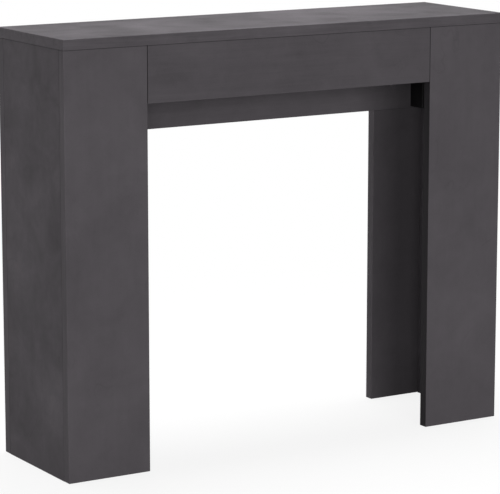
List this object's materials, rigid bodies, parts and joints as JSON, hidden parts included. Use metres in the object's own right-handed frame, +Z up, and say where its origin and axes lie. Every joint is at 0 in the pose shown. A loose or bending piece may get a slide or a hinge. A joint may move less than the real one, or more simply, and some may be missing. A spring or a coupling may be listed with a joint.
{
  "type": "extending console table",
  "caption": "Slim console table of grey boards with wide front legs and an apron; its rear half slides back on telescopic slides to take loose table leaves.",
  "frame": {"origin": "floor level, under the middle of the closed table", "axes": "+X along the width to the right seen from the front, +Y to the back, +Z up"},
  "size_m": [0.9, 0.25, 0.76],
  "materials": {
    "board_melamine": "melamine-faced chipboard, matt charcoal grey with a soft cloudy concrete print",
    "edge_banding": "matt charcoal plastic edge band with rounded edges",
    "slide_aluminium": "mill-finish extrusion with fine drawing lines",
    "slide_nylon": "black nylon",
    "cam_zinc": "die-cast zinc",
    "plated_steel": "bright zinc-plated steel",
    "beech_dowel": "raw fluted beech",
    "glide_plastic": "dark plastic"
  },
  "bodies": {
    "front_half": {"table_top": "board_melamine", "front_leg_left": "board_melamine", "front_leg_right": "board_melamine", "side_panel_left": "board_melamine", "side_panel_right": "board_melamine", "front_apron": "board_melamine", "table_top_edge_band": "edge_banding", "front_leg_left_edge_band": "edge_banding", "front_leg_right_edge_band": "edge_banding", "side_panel_left_edge_band": "edge_banding", "side_panel_right_edge_band": "edge_banding", "front_apron_edge_band": "edge_banding", "fixed_slide_left": "slide_aluminium", "fixed_slide_right": "slide_aluminium", "fixed_slide_keys": "slide_nylon", "cam_locks": "cam_zinc", "cam_bolts": "cam_zinc", "wood_dowels": "beech_dowel", "apron_plates": "plated_steel", "apron_plate_screws": "plated_steel", "top_brackets": "plated_steel", "top_bracket_screws": "plated_steel", "slide_screws": "plated_steel", "front_glides": "glide_plastic"},
    "rear_half": {"rear_leg_left": "board_melamine", "rear_leg_right": "board_melamine", "rear_rail": "board_melamine", "rear_leg_left_edge_band": "edge_banding", "rear_leg_right_edge_band": "edge_banding", "rear_rail_edge_band": "edge_banding", "end_slide_left": "slide_aluminium", "end_slide_right": "slide_aluminium", "end_slide_keys": "slide_nylon", "rail_screws": "plated_steel", "end_brackets": "plated_steel", "end_bracket_bolts": "plated_steel", "end_bracket_screws": "plated_steel", "guide_blocks": "slide_nylon", "rear_glides": "glide_plastic"},
    "left_stage_1": {"stage_1_slide_left": "slide_aluminium", "stage_1_keys_left": "slide_nylon"},
    "left_stage_2": {"stage_2_slide_left": "slide_aluminium", "stage_2_keys_left": "slide_nylon"},
    "left_stage_3": {"stage_3_slide_left": "slide_aluminium", "stage_3_keys_left": "slide_nylon"},
    "right_stage_1": {"stage_1_slide_right": "slide_aluminium", "stage_1_keys_right": "slide_nylon"},
    "right_stage_2": {"stage_2_slide_right": "slide_aluminium", "stage_2_keys_right": "slide_nylon"},
    "right_stage_3": {"stage_3_slide_right": "slide_aluminium", "stage_3_keys_right": "slide_nylon"}
  },
  "joints": [
    {"name": "extension", "type": "slide", "parent": "front_half", "child": "rear_half", "axis": [0, 1, 0], "range_m": [0, 0.5]},
    {"name": "left_slide_stage_1", "type": "slide", "parent": "front_half", "child": "left_stage_1", "axis": [0, 1, 0], "range_m": [0, 0.125]},
    {"name": "left_slide_stage_2", "type": "slide", "parent": "front_half", "child": "left_stage_2", "axis": [0, 1, 0], "range_m": [0, 0.25]},
    {"name": "left_slide_stage_3", "type": "slide", "parent": "front_half", "child": "left_stage_3", "axis": [0, 1, 0], "range_m": [0, 0.375]},
    {"name": "right_slide_stage_1", "type": "slide", "parent": "front_half", "child": "right_stage_1", "axis": [0, 1, 0], "range_m": [0, 0.125]},
    {"name": "right_slide_stage_2", "type": "slide", "parent": "front_half", "child": "right_stage_2", "axis": [0, 1, 0], "range_m": [0, 0.25]},
    {"name": "right_slide_stage_3", "type": "slide", "parent": "front_half", "child": "right_stage_3", "axis": [0, 1, 0], "range_m": [0, 0.375]}
  ],
  "couplings": [
    {"joint": "left_slide_stage_1", "follows": "extension", "ratio": 0.25},
    {"joint": "left_slide_stage_2", "follows": "extension", "ratio": 0.5},
    {"joint": "left_slide_stage_3", "follows": "extension", "ratio": 0.75},
    {"joint": "right_slide_stage_1", "follows": "extension", "ratio": 0.25},
    {"joint": "right_slide_stage_2", "follows": "extension", "ratio": 0.5},
    {"joint": "right_slide_stage_3", "follows": "extension", "ratio": 0.75}
  ]
}
